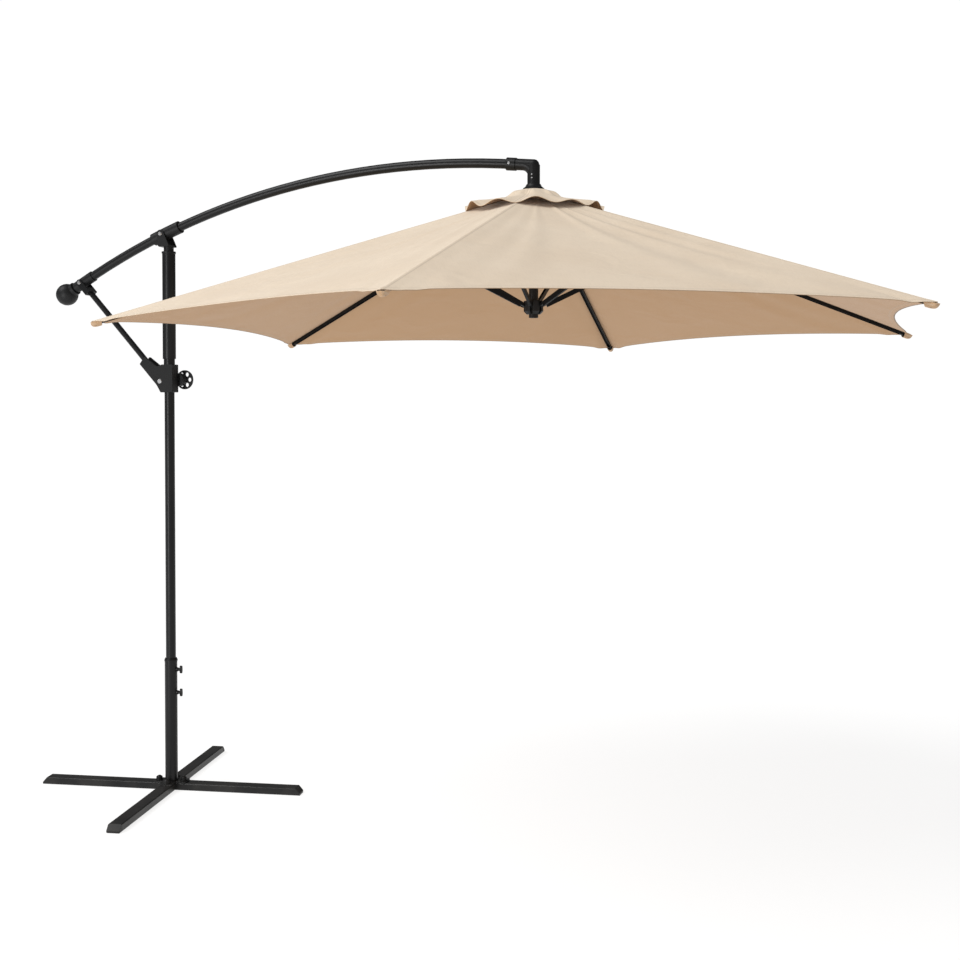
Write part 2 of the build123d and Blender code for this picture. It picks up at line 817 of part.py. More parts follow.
# ------------------------------------------------------- ribs and stretchers
rib_start = (crown_pivot_r, crown_z)
rib_angle = -rib_fall
rib_length = (tip_r - crown_pivot_r) / cos(rib_fall)
bracket_pin = along(rib_start, rib_angle, bracket_at, -bracket_drop)
stretch_end = (runner_pivot_r, runner_pivot_z)
stretch_angle = atan2(stretch_end[1] - bracket_pin[1], stretch_end[0] - bracket_pin[0])
stretch_length = sqrt(
    (stretch_end[0] - bracket_pin[0]) ** 2 + (stretch_end[1] - bracket_pin[1]) ** 2
)
for k in range(ribs):
    with BuildPart() as rib:
        with BuildSketch(rib_plane(k)):
            Polygon(*bar(rib_start, rib_angle, 0, 60, -tongue_half, tongue_half), align=None)
            with Locations(rib_start):
                Circle(tongue_eye)
                Circle(hinge_pin_r + slide_gap, mode=Mode.SUBTRACT)
        extrude(amount=tongue_width / 2, both=True)
        with BuildSketch(rib_plane(k)):
            Polygon(*bar(rib_start, rib_angle, 34, rib_length, -half_height, half_height), align=None)
        extrude(amount=rib_width / 2, both=True)
        with BuildSketch(rib_plane(k)):
            Polygon(
                *bar(
                    rib_start, rib_angle, 62, rib_length - tip_length,
                    -half_height - 1, half_height - rib_wall,
                ),
                align=None,
            )
        extrude(amount=rib_width / 2 - rib_wall, both=True, mode=Mode.SUBTRACT)
        with BuildSketch(rib_plane(k)):
            Polygon(
                *bar(rib_start, rib_angle, bracket_at - 16, bracket_at + 16, -bracket_drop - 5, 4),
                align=None,
            )
        extrude(amount=bracket_width / 2 + 1.5, both=True)
        with BuildSketch(rib_plane(k)):
            Polygon(
                *bar(rib_start, rib_angle, bracket_at - 30, bracket_at + 30, -bracket_drop - 9, 2),
                align=None,
            )
        extrude(amount=stretcher_width / 2 + seat_gap, both=True, mode=Mode.SUBTRACT)
        with BuildSketch(rib_plane(k)):
            with Locations(bracket_pin):
                Circle(hinge_pin_r)
        extrude(amount=bracket_width / 2 + 2.5, both=True)
        with BuildSketch(rib_plane(k)):
            with Locations(along(rib_start, rib_angle, rib_length, half_height - tip_knob_r)):
                Circle(tip_knob_r)
        extrude(amount=rib_width / 2, both=True)
    keep(rib, f"rib_{k}")

    with BuildPart() as stretcher:
        with BuildSketch(rib_plane(k)):
            Polygon(
                *bar(bracket_pin, stretch_angle, 0, stretch_length, 1 - link_eye, link_eye - 1),
                align=None,
            )
            with Locations(bracket_pin, stretch_end):
                Circle(link_eye)
        extrude(amount=stretcher_width / 2, both=True)
        with BuildSketch(rib_plane(k)):
            Polygon(
                *bar(bracket_pin, stretch_angle, 20, stretch_length - 24,
                     -stretcher_up, stretcher_down),
                align=None,
            )
        extrude(amount=stretcher_width / 2, both=True)
        with BuildSketch(rib_plane(k)):
            Polygon(
                *bar(bracket_pin, stretch_angle, 30, stretch_length - 34,
                     -stretcher_up - 1, stretcher_down - rib_wall),
                align=None,
            )
        extrude(amount=stretcher_width / 2 - rib_wall, both=True, mode=Mode.SUBTRACT)
        with BuildSketch(rib_plane(k)):
            with Locations(bracket_pin, stretch_end):
                Circle(hinge_pin_r + slide_gap)
        extrude(amount=stretcher_width, both=True, mode=Mode.SUBTRACT)
    keep(stretcher, f"stretcher_{k}")

# ------------------------------------------------------------------- canopy
fall_mid = tan(rib_fall) / cos(half_sector)
stretch_mid = sqrt(1 + fall_mid**2)
ridge_rise = tan(rib_fall) * tan(half_sector) * rib_width / 2  # cloth over a rib's edges
cloth_top_z = (
    crown_z + tan(rib_fall) * crown_pivot_r
    + (half_height + seat_gap) / cos(rib_fall) + ridge_rise
)
flap_mid = flap_fall / cos(half_sector)
flap_stretch = sqrt(1 + flap_mid**2)
flap_top_z = disc_low + disc_thick + seat_gap + flap_mid * disc_r


def half_gore(k, side, apex_z, fall, stretch, inner, outer, dip, thick):
    """Half a gore beside rib k, flat, with its rim drawn in towards the middle."""
    mid = radians(canopy_turn) + 2 * pi * k / ribs + side * half_sector
    plane = Plane(
        origin=(hub_x, 0, apex_z),
        x_dir=(cos(mid), sin(mid), -fall),
        z_dir=(fall * cos(mid), fall * sin(mid), 1),
    )
    gap = side * seat_gap / 2
    rim = outer * cos(half_sector)
    half_rim = outer * sin(half_sector)
    with BuildSketch(plane) as gore:
        with BuildLine():
            Polyline(
                (stretch * (rim - dip), -gap),
                (stretch * inner * cos(half_sector), -gap),
                (stretch * inner * cos(half_sector), -side * inner * sin(half_sector)),
                (stretch * rim, -side * half_rim),
            )
            ThreePointArc(
                (stretch * rim, -side * half_rim),
                (stretch * (rim - 0.75 * dip), -side * half_rim / 2),
                (stretch * (rim - dip), -gap),
            )
        make_face()
    extrude(gore.sketch, amount=thick, dir=(0, 0, 1))


for k in range(ribs):
    with BuildPart() as sector:
        for side in (-1, 1):
            half_gore(
                k, side, cloth_top_z, fall_mid, stretch_mid, vent_r, tip_r + corner_reach,
                scallop, cloth,
            )
            half_gore(
                k, side, flap_top_z, flap_mid, flap_stretch, flap_inner, flap_r,
                flap_scallop, cloth,
            )
    keep(sector, f"canopy_sector_{k}")

# -------------------------------------------------------------- lift cord
cord_start = pivot_x + 60
with BuildPart() as lift_cord_arm:
    with BuildLine(side_plane()):
        ThreePointArc(
            (cord_start, arc_z(cord_start)), (peak_x, peak_z), (elbow_x, arc_z(elbow_x))
        )
        FilletPolyline(
            (elbow_x, arc_z(elbow_x)), elbow_corner, (hub_x, runner_low + runner_height),
            radius=elbow_bend,
        )
    with BuildSketch(arm_frame(cord_start)):
        Circle(cord_r)
    sweep()
keep(lift_cord_arm, "lift_cord_arm")

with BuildPart() as lift_cord_mast:
    with BuildSketch(Plane.XY.offset(housing_high)):
        Circle(cord_r)
    extrude(amount=mast_top + 20 - housing_high)
keep(lift_cord_mast, "lift_cord_mast")

print("rib fall", degrees(rib_fall), "rib length", rib_length)
print("stretcher", stretch_length, "strut", strut_length, degrees(strut_angle))
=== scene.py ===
"""Cantilever patio umbrella: the cover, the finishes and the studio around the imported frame."""

import json
import logging
import math
from dataclasses import dataclass, field
from enum import Enum
from typing import Any, Callable, Sequence

import bpy
import numpy as np
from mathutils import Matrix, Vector


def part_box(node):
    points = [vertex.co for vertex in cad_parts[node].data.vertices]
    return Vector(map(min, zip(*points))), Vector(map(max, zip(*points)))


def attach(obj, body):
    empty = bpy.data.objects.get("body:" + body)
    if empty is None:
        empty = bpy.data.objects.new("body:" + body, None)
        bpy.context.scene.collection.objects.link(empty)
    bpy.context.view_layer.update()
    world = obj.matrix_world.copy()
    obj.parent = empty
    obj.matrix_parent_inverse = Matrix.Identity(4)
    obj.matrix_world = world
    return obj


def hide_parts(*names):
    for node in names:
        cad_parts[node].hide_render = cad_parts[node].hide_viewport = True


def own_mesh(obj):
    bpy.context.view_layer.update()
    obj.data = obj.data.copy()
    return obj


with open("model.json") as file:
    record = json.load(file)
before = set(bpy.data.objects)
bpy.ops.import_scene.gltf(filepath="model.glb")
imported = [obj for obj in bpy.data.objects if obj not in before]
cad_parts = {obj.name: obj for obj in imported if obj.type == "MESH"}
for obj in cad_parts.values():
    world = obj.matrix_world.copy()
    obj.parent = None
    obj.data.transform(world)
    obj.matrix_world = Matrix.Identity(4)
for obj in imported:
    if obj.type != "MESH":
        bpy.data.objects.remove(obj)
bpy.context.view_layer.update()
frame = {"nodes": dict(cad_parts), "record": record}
log = logging.getLogger("umbrella")

RIBS = 6
HALF = math.pi / RIBS
FIRST_RIB = math.radians(33.0)


def hub_axis() -> tuple[float, float]:
    """The hub's axis, x and y, from the middle of the canopy pole's box."""
    low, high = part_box("canopy_pole")
    return tuple(round((a + b) / 2, 4) for a, b in zip(low[:2], high[:2]))


def rib_turn(k: int) -> float:
    """Angle of rib k about the hub, from the arm."""
    return FIRST_RIB + 2 * HALF * k


class Side(Enum):
    """The two halves of a sector, either side of its rib."""

    LEFT = 1.0
    RIGHT = -1.0


class Slot(Enum):
    """Material slots of the record."""

    FRAME = "frame_black"
    RIB = "rib_black"
    PLASTIC = "plastic_black"
    CASTING = "casting_black"
    STEEL = "rivet_steel"
    CLOTH = "cloth_beige"
    CORD = "cord"


# ------------------------------------------------------------------ mesh work


def smoothstep(low: float, high: float, value: np.ndarray) -> np.ndarray:
    """Cubic step from 0 at low to 1 at high.

    Args:
        low: Where the step starts.
        high: Where it ends.
        value: Array to step.

    Returns:
        The stepped array.
    """
    t = np.clip((value - low) / (high - low), 0.0, 1.0)
    return t * t * (3.0 - 2.0 * t)


def grid_faces(rows: int, columns: int, start: int, flip: bool) -> np.ndarray:
    """Quads of a grid whose points are stored row by row.

    Args:
        rows: Number of point rows.
        columns: Number of points in a row.
        start: Index of the first point.
        flip: True to turn the faces over.

    Returns:
        An (n, 4) array of point indices.
    """
    i, j = np.meshgrid(np.arange(rows - 1), np.arange(columns - 1), indexing="ij")
    corner = i * columns + j
    quads = np.stack([corner, corner + 1, corner + columns + 1, corner + columns], -1).reshape(-1, 4) + start
    return quads[:, ::-1] if flip else quads


def new_piece(name: str, points: np.ndarray, faces: np.ndarray | Sequence[Sequence[int]],
              attributes: dict[str, np.ndarray] | None = None,
              uv: np.ndarray | None = None, smooth: bool = True) -> bpy.types.Object:
    """Mesh object from arrays, linked to the scene.

    Args:
        name: Piece name.
        points: (n, 3) points in metres, in the row frame.
        faces: Faces as point indices.
        attributes: Point attributes, one value a point.
        uv: (n, 2) map, one pair a point.
        smooth: True for smooth shading.

    Returns:
        The new object.
    """
    mesh = bpy.data.meshes.new(name)
    mesh.from_pydata(points.reshape(-1, 3).tolist(), [], [list(map(int, f)) for f in faces])
    mesh.update()
    for key, values in (attributes or {}).items():
        layer = mesh.attributes.new(key, "FLOAT", "POINT")
        layer.data.foreach_set("value", np.asarray(values, np.float32).ravel())
    if uv is not None:
        corner = np.empty(len(mesh.loops), np.int32)
        mesh.loops.foreach_get("vertex_index", corner)
        mesh.uv_layers.new(name="cut").data.foreach_set(
            "uv", np.asarray(uv, np.float32).reshape(-1, 2)[corner].ravel())
    if smooth:
        mesh.shade_smooth()
    piece = bpy.data.objects.new(name, mesh)
    bpy.context.scene.collection.objects.link(piece)
    return piece


def surface_normals(points: np.ndarray) -> np.ndarray:
    """Unit normals of a (rows, columns, 3) grid: the cross product of its two tangents."""
    du = np.gradient(points, axis=0)
    dv = np.gradient(points, axis=1)
    n = np.cross(du, dv)
    return n / np.maximum(np.linalg.norm(n, axis=-1, keepdims=True), 1e-12)


def closed_sheet(name: str, middle: np.ndarray, thick: np.ndarray,
                 attributes: dict[str, np.ndarray], uv: np.ndarray,
                 underside_shade_share: float = 1.0) -> bpy.types.Object:
    """Thin closed cloth: the middle surface moved half its thickness each way and joined at its edges.

    Args:
        name: Piece name.
        middle: (rows, columns, 3) middle surface.
        thick: (rows, columns) thickness.
        attributes: (rows, columns) values carried on both faces.
        uv: (rows, columns, 2) flat map of the cut, in metres.
        underside_shade_share: Share of the painted shade colour given to the underside, 0 where the face
            side of the cloth is turned down.

    Returns:
        The new object.
    """
    rows, columns = middle.shape[:2]
    normal = surface_normals(middle)
    normal = normal * np.sign(normal[..., 2:3] + 1e-9)
    top = middle + normal * thick[..., None] / 2
    bottom = middle - normal * thick[..., None] / 2
    count = rows * columns
    winding = np.cross(middle[1, 0] - middle[0, 0], middle[0, 1] - middle[0, 0])[2] > 0
    faces = [grid_faces(rows, columns, 0, not winding), grid_faces(rows, columns, count, winding)]
    index = np.arange(count).reshape(rows, columns)
    ring = np.concatenate([index[0, :-1], index[:-1, -1], index[-1, :0:-1], index[:0:-1, 0]])
    after = np.roll(ring, -1)
    wall = np.stack([ring, after, after + count, ring + count], -1)
    faces.append(wall if not winding else wall[:, ::-1])
    values = {key: np.concatenate([v.ravel(), v.ravel()]) for key, v in attributes.items()}
    # Painted shade: the bottom face carries the share that picks the cloth's darker, warmer shaded colour.
    values["reverse"] = np.concatenate([np.zeros(count), np.full(count, underside_shade_share)])
    piece = new_piece(name, np.concatenate([top.reshape(-1, 3), bottom.reshape(-1, 3)]),
                      np.concatenate(faces), values, np.concatenate([uv.reshape(-1, 2)] * 2))
    border = np.zeros(2 * count, bool)
    border[ring] = border[ring + count] = True
    ends = np.empty(2 * len(piece.data.edges), np.int32)
    piece.data.edges.foreach_get("vertices", ends)
    both = border[ends.reshape(-1, 2)].all(axis=1)
    piece.data.attributes.new("sharp_edge", "BOOLEAN", "EDGE").data.foreach_set("value", both)
    return piece


def turned(points: np.ndarray, angle: float, centre: tuple[float, float]) -> np.ndarray:
    """Points of the rib frame (x outwards, y across) turned about the hub into the row frame.

    Args:
        points: (..., 3) points measured from the hub axis.
        angle: Turn of the rib about the hub, in radians.
        centre: The hub axis, x and y.

    Returns:
        The turned points.
    """
    c, s = math.cos(angle), math.sin(angle)
    x, y = points[..., 0], points[..., 1]
    return np.stack([centre[0] + c * x - s * y, centre[1] + s * x + c * y, points[..., 2]], -1)


# -------------------------------------------------------------------- finishes


class Wiring:
    """Small helper that adds and joins nodes in one tree."""

    def __init__(self, tree: bpy.types.NodeTree) -> None:
        """Keeps the tree."""
        self.tree = tree

    def add(self, kind: str, **settings: Any) -> bpy.types.Node:
        """Adds a node.

        Args:
            kind: Node type.
            settings: Properties of the node.

        Returns:
            The node.
        """
        node = self.tree.nodes.new(kind)
        for key, value in settings.items():
            setattr(node, key, value)
        return node

    def value(self, node: bpy.types.Node, **inputs: float) -> bpy.types.Node:
        """Sets inputs by name, with _ for a space, and returns the node."""
        for key, number in inputs.items():
            node.inputs[key.replace("_", " ")].default_value = number
        return node

    def join(self, source: bpy.types.NodeSocket, target: bpy.types.NodeSocket) -> None:
        """Joins two sockets."""
        self.tree.links.new(source, target)

    def math(self, operation: str, a: Any, b: Any = None, c: Any = None) -> bpy.types.NodeSocket:
        """Adds a maths node.

        Args:
            operation: Its operation.
            a: First number or socket.
            b: Second number or socket.
            c: Third number or socket.

        Returns:
            Its result.
        """
        node = self.add("ShaderNodeMath", operation=operation)
        for socket, given in zip(node.inputs, (a, b, c)):
            if isinstance(given, bpy.types.NodeSocket):
                self.join(given, socket)
            elif given is not None:
                socket.default_value = given
        return node.outputs[0]

    def line(self, place: bpy.types.NodeSocket, at: float, core: float, fade: float) -> bpy.types.NodeSocket:
        """1 on a line where place is at, within core of it, falling to 0 at fade from it."""
        off = self.math("ABSOLUTE", self.math("SUBTRACT", place, at))
        return self.math("SUBTRACT", 1.0, self.ramp(off, core, fade))

    def ramp(self, fac: bpy.types.NodeSocket, low: float, high: float) -> bpy.types.NodeSocket:
        """Smooth 0 to 1 step of a socket between two values."""
        node = self.add("ShaderNodeMapRange", interpolation_type="SMOOTHSTEP", clamp=True)
        node.inputs["From Min"].default_value = low
        node.inputs["From Max"].default_value = high
        self.join(fac, node.inputs["Value"])
        return node.outputs["Result"]

    def mix(self, fac: Any, a: Any, b: Any) -> bpy.types.NodeSocket:
        """Colour between a and b by fac, each a colour or a socket."""
        node = self.add("ShaderNodeMix", data_type="RGBA")
        for socket, given in ((node.inputs[0], fac), (node.inputs[6], a), (node.inputs[7], b)):
            if isinstance(given, bpy.types.NodeSocket):
                self.join(given, socket)
            else:
                socket.default_value = given if not isinstance(given, tuple) else (*given[:3], 1.0)
        return node.outputs[2]


def shared_group(name: str, inputs: dict[str, float], outputs: dict[str, str],
                 fill: Callable[[Wiring, bpy.types.Node, bpy.types.Node], None]) -> bpy.types.NodeTree:
    """Node group made once and used by several finishes.

    Args:
        name: Group name.
        inputs: Float inputs and their defaults.
        outputs: Outputs and their socket types.
        fill: Function that wires the inside.

    Returns:
        The group.
    """
    if name in bpy.data.node_groups:
        return bpy.data.node_groups[name]
    tree = bpy.data.node_groups.new(name, "ShaderNodeTree")
    for key, start in inputs.items():
        socket = tree.interface.new_socket(key, in_out="INPUT", socket_type="NodeSocketFloat")
        socket.default_value = start
    for key, kind in outputs.items():
        tree.interface.new_socket(key, in_out="OUTPUT", socket_type=kind)
    wiring = Wiring(tree)
    fill(wiring, wiring.add("NodeGroupInput"), wiring.add("NodeGroupOutput"))
    return tree


def fill_grain(w: Wiring, given: bpy.types.Node, out: bpy.types.Node) -> None:
    """Fine grain and slow blotches of a coated or moulded surface, from two noises on Object coordinates."""
    place = w.add("ShaderNodeTexCoord").outputs["Object"]
    fine = w.value(w.add("ShaderNodeTexNoise"), Detail=3.0, Roughness=0.6)
    w.join(place, fine.inputs["Vector"])
    w.join(given.outputs["Grain"], fine.inputs["Scale"])
    slow = w.value(w.add("ShaderNodeTexNoise"), Detail=5.0, Roughness=0.55, Scale=7.0)
    w.join(place, slow.inputs["Vector"])
    height = w.add("ShaderNodeSeparateXYZ")
    w.join(place, height.inputs[0])
    dust = w.math("MULTIPLY", w.math("SUBTRACT", 1.0, w.ramp(height.outputs["Z"], 0.0, 0.09)),
                  w.ramp(slow.outputs["Fac"], 0.35, 0.7))
    w.join(fine.outputs["Fac"], out.inputs["Fine"])
    w.join(slow.outputs["Fac"], out.inputs["Slow"])
    w.join(dust, out.inputs["Dust"])


def grain_group() -> bpy.types.NodeTree:
    """The grain group, made on first use."""
    return shared_group("surface_grain", {"Grain": 900.0},
                        {"Fine": "NodeSocketFloat", "Slow": "NodeSocketFloat", "Dust": "NodeSocketFloat"},
                        fill_grain)


@dataclass(frozen=True)
class CoatedFinish:
    """Powder coat, moulded plastic, casting or bare steel: one colour with grain, blotches and dust."""

    name: str
    colour: tuple[float, float, float]
    lighter: tuple[float, float, float]
    rough_low: float
    rough_high: float
    metallic: float
    grain: float
    bump: float
    edge: float = 0.0012
    coat: float = 0.0
    specular: float = 0.22

    def build(self) -> bpy.types.Material:
        """Makes the material.

        Returns:
            The material, with softened edges from the Bevel node and a grain bump.
        """
        material = bpy.data.materials.new(self.name)
        material.use_nodes = True
        w = Wiring(material.node_tree)
        shader = material.node_tree.nodes["Principled BSDF"]
        grain = w.add("ShaderNodeGroup", node_tree=grain_group())
        grain.inputs["Grain"].default_value = self.grain
        tone = w.mix(w.ramp(grain.outputs["Slow"], 0.3, 0.72), self.colour, self.lighter)
        speck = w.ramp(grain.outputs["Fine"], 0.58, 0.75)
        tone = w.mix(w.math("MULTIPLY", speck, 0.12), tone, tuple(min(1.0, 1.8 * c) for c in self.lighter))
        tone = w.mix(w.math("MULTIPLY", grain.outputs["Dust"], 0.05), tone, (0.30, 0.27, 0.23))
        w.join(tone, shader.inputs["Base Color"])
        rough = w.add("ShaderNodeMapRange", clamp=True)
        rough.inputs["To Min"].default_value = self.rough_low
        rough.inputs["To Max"].default_value = self.rough_high
        w.join(grain.outputs["Slow"], rough.inputs["Value"])
        w.join(rough.outputs["Result"], shader.inputs["Roughness"])
        shader.inputs["Metallic"].default_value = self.metallic
        shader.inputs["Specular IOR Level"].default_value = self.specular
        shader.inputs["Coat Weight"].default_value = self.coat
        shader.inputs["Coat Roughness"].default_value = 0.25
        edge = w.add("ShaderNodeBevel", samples=4)
        edge.inputs["Radius"].default_value = self.edge
        bump = w.value(w.add("ShaderNodeBump"), Strength=self.bump, Distance=0.0006)
        w.join(grain.outputs["Fine"], bump.inputs["Height"])
        w.join(edge.outputs["Normal"], bump.inputs["Normal"])
        w.join(bump.outputs["Normal"], shader.inputs["Normal"])
        return material


@dataclass(frozen=True)
class PolyesterFinish:
    """Woven polyester: plain weave, slubs, seam stitches, a hem line, painted shade in the seams, the hem
    and the weave, and an underside painted darker and warmer as shade.
    """

    name: str = "polyester_beige"
    face: tuple[float, float, float] = (0.735, 0.600, 0.452)
    face_light: tuple[float, float, float] = (0.775, 0.645, 0.495)
    # Painted shade: the darker, warmer colour given to the cloth's shaded underside.
    underside_shade_colour: tuple[float, float, float] = (0.415, 0.252, 0.132)
    thread: tuple[float, float, float] = (0.50, 0.38, 0.27)
    weave_pitch: float = 0.0011
    stitch_pitch: float = 0.0042
    stitch_share: float = 0.68
    stitch_inset: float = 0.0035
    seam_inset: float = 0.0018
    hem: float = 0.020
    seam: float = 0.0065
    # Width of the painted shade band along the underside of the rim, partly the hem's edge.
    hem_shade_width: float = 0.0042

    def weave(self, w: Wiring, u: bpy.types.NodeSocket, v: bpy.types.NodeSocket) -> bpy.types.NodeSocket:
        """Plain weave height: the product of two sine waves, one along each thread direction.

        Args:
            w: Wiring of the material.
            u: Metres along the warp.
            v: Metres along the weft.

        Returns:
            Height from 0 to 1.
        """
        k = 2 * math.pi / (2 * self.weave_pitch)
        product = w.math("MULTIPLY", w.math("SINE", w.math("MULTIPLY", u, k)),
                         w.math("SINE", w.math("MULTIPLY", v, k)))
        return w.math("MULTIPLY_ADD", product, 0.5, 0.5)

    def stitches(self, w: Wiring, across: bpy.types.NodeSocket, run: bpy.types.NodeSocket,
                 at: float) -> bpy.types.NodeSocket:
        """One row of dashes at a distance from an edge.

        Args:
            w: Wiring of the material.
            across: Metres from the edge.
            run: Metres along it.
            at: Distance of the row.

        Returns:
            1 on a stitch, 0 elsewhere.
        """
        dash = w.math("FRACT", w.math("DIVIDE", run, self.stitch_pitch))
        thread = w.line(across, at, 0.0003, 0.0010)
        return w.math("MULTIPLY", thread, w.math("LESS_THAN", dash, self.stitch_share))

    def build(self) -> bpy.types.Material:
        """Makes the material.

        Returns:
            The cloth material. It reads the piece's cut map, its rim and rib attributes, and the attribute
            that picks the painted shade colour of the underside.
        """
        material = bpy.data.materials.new(self.name)
        material.use_nodes = True
        w = Wiring(material.node_tree)
        shader = material.node_tree.nodes["Principled BSDF"]
        cut = w.add("ShaderNodeSeparateXYZ")
        w.join(w.add("ShaderNodeUVMap", uv_map="cut").outputs["UV"], cut.inputs[0])
        u, v = cut.outputs["X"], cut.outputs["Y"]
        rim = w.add("ShaderNodeAttribute", attribute_name="rim").outputs["Fac"]
        rib = w.add("ShaderNodeAttribute", attribute_name="rib").outputs["Fac"]
        reverse = w.add("ShaderNodeAttribute", attribute_name="reverse").outputs["Fac"]
        height = self.weave(w, u, v)
        slub = w.value(w.add("ShaderNodeTexNoise"), Scale=260.0, Detail=2.0)
        cloud = w.value(w.add("ShaderNodeTexNoise"), Scale=3.2, Detail=6.0, Roughness=0.6)
        stretch = w.add("ShaderNodeCombineXYZ")
        w.join(w.math("MULTIPLY", u, 0.12), stretch.inputs[0])
        w.join(v, stretch.inputs[1])
        w.join(stretch.outputs[0], slub.inputs["Vector"])
        w.join(w.add("ShaderNodeTexCoord").outputs["Object"], cloud.inputs["Vector"])
        face = w.mix(w.ramp(cloud.outputs["Fac"], 0.3, 0.7), self.face, self.face_light)
        face = w.mix(w.math("MULTIPLY", w.ramp(slub.outputs["Fac"], 0.5, 0.72), 0.25), face,
                     tuple(c * 0.82 for c in self.face))
        # Painted shade: the weave's hollows are darkened.
        face = w.mix(w.math("MULTIPLY", w.math("SUBTRACT", 1.0, height), 0.16), face,
                     tuple(c * 0.6 for c in self.face))
        # Painted shade: the underside takes the darker, warmer shaded colour.
        tone = w.mix(reverse, face, self.underside_shade_colour)
        # Painted shade: the hem and rib seam grooves are darkened; the same mask sinks the grooves in the
        # bump.
        hem_groove_shade = w.line(rim, self.hem, 0.0002, 0.0016)
        seam_groove_and_shade = w.math("MAXIMUM", hem_groove_shade, w.line(rib, self.seam, 0.0002, 0.0014))
        tone = w.mix(w.math("MULTIPLY", seam_groove_and_shade, 0.45), tone, tuple(c * 0.45 for c in self.face))
        rows = self.stitches(w, rim, v, self.hem - self.stitch_inset)
        for row in (self.stitches(w, rib, u, self.seam - self.seam_inset),
                    self.stitches(w, rim, v, self.stitch_inset)):
            rows = w.math("MAXIMUM", rows, row)
        tone = w.mix(w.math("MULTIPLY", rows, 0.7), tone, self.thread)
        # Painted shade: a dark band along the underside of the rim, partly the hem's edge and partly shade.
        hem_edge_shade = w.math("SUBTRACT", 1.0, w.ramp(rim, self.hem_shade_width * 0.7, self.hem_shade_width))
        hem_edge_shade = w.math("MULTIPLY", hem_edge_shade, reverse)
        tone = w.mix(w.math("MULTIPLY", hem_edge_shade, 0.8), tone, tuple(c * 0.30 for c in self.underside_shade_colour))
        w.join(tone, shader.inputs["Base Color"])
        shader.inputs["Roughness"].default_value = 0.82
        shader.inputs["Specular IOR Level"].default_value = 0.25
        shader.inputs["Sheen Weight"].default_value = 0.18
        shader.inputs["Sheen Roughness"].default_value = 0.45
        relief = w.math("MULTIPLY_ADD", rows, 1.2, height)
        relief = w.math("SUBTRACT", relief, w.math("MULTIPLY", seam_groove_and_shade, 1.5))
        fine = w.value(w.add("ShaderNodeBump"), Strength=0.35, Distance=0.0004)
        w.join(relief, fine.inputs["Height"])
        drape = w.value(w.add("ShaderNodeBump"), Strength=0.35, Distance=0.02)
        soft = w.value(w.add("ShaderNodeTexNoise"), Scale=5.0, Detail=2.0, Distortion=0.6)
        w.join(w.add("ShaderNodeTexCoord").outputs["Object"], soft.inputs["Vector"])
        w.join(soft.outputs["Fac"], drape.inputs["Height"])
        w.join(drape.outputs["Normal"], fine.inputs["Normal"])
        w.join(fine.outputs["Normal"], shader.inputs["Normal"])
        return material


@dataclass
class Finishes:
    """Every finish on the umbrella, made once, and which CAD node wears which."""

    made: dict[Slot, bpy.types.Material] = field(default_factory=dict)

    def build(self) -> None:
        """Makes the materials."""
        self.made = {
            Slot.FRAME: CoatedFinish("powder_coat", (0.0062, 0.0064, 0.0068), (0.0088, 0.0090, 0.0096),
                                     0.30, 0.38, 0.0, 1300.0, 0.05).build(),
            Slot.RIB: CoatedFinish("rib_coat", (0.0050, 0.0050, 0.0054), (0.0074, 0.0074, 0.0078),
                                   0.42, 0.52, 0.0, 1500.0, 0.05, 0.0006, specular=0.12).build(),
            Slot.PLASTIC: CoatedFinish("moulded_black", (0.0070, 0.0072, 0.0076), (0.0100, 0.0102, 0.0108),
                                       0.40, 0.50, 0.0, 700.0, 0.12, 0.0016).build(),
            Slot.CASTING: CoatedFinish("cast_black", (0.0072, 0.0074, 0.0078), (0.0105, 0.0107, 0.0114),
                                       0.34, 0.44, 0.0, 500.0, 0.10, 0.0022).build(),
            Slot.STEEL: CoatedFinish("bright_steel", (0.60, 0.60, 0.61), (0.70, 0.70, 0.70),
                                     0.22, 0.38, 1.0, 1800.0, 0.06, 0.0008, specular=0.5).build(),
            Slot.CLOTH: PolyesterFinish().build(),
            Slot.CORD: CoatedFinish("cord_braid", (0.55, 0.52, 0.47), (0.66, 0.63, 0.58),
                                    0.75, 0.9, 0.0, 900.0, 0.5, 0.0004).build(),
        }

    def dress(self, piece: bpy.types.Object, slot: Slot) -> None:
        """Puts a finish on a new piece and names its slot.

        Args:
            piece: The piece.
            slot: The record's slot.
        """
        piece.data.materials.clear()
        piece.data.materials.append(self.made[slot])
        log.info("%s: %d faces, %s", piece.name, len(piece.data.polygons), slot.value)

    def dress_frame(self) -> None:
        """Puts the finishes on the CAD nodes, through their objects' own material slots."""
        wanted = {s["node"]: Slot(s["material_slot"]) for s in frame["record"]["subparts"]}
        for name, node in frame["nodes"].items():
            for place in node.material_slots:
                place.link = "OBJECT"
                place.material = self.made[wanted[name]]


# ---------------------------------------------------------------------- cover


@dataclass(frozen=True)
class Fold:
    """A soft tension fold across one gore, from near the vent to the rim.

    start and end are places across the gore, 0 at its first rib and 1 at its second.
    """

    gore: int
    start: float
    end: float
    height: float
    width: float = 0.05

    def rise(self, gore: int, place: np.ndarray, u: np.ndarray) -> np.ndarray:
        """Height of the fold: a bell across its line, steeper on one side, fading at both ends.

        Args:
            gore: Gore asked for.
            place: Places across the gore.
            u: Places from vent to rim.

        Returns:
            Heights in metres.
        """
        if gore != self.gore:
            return np.zeros_like(u)
        line = self.start + (self.end - self.start) * u
        off = (place - line) / (self.width * (0.45 + 0.75 * u))
        bell = np.exp(-off ** 2) - 0.45 * np.exp(-(off - 1.7) ** 2)
        return self.height * bell * smoothstep(0.02, 0.2, u) * (1 - smoothstep(0.93, 1.0, u))


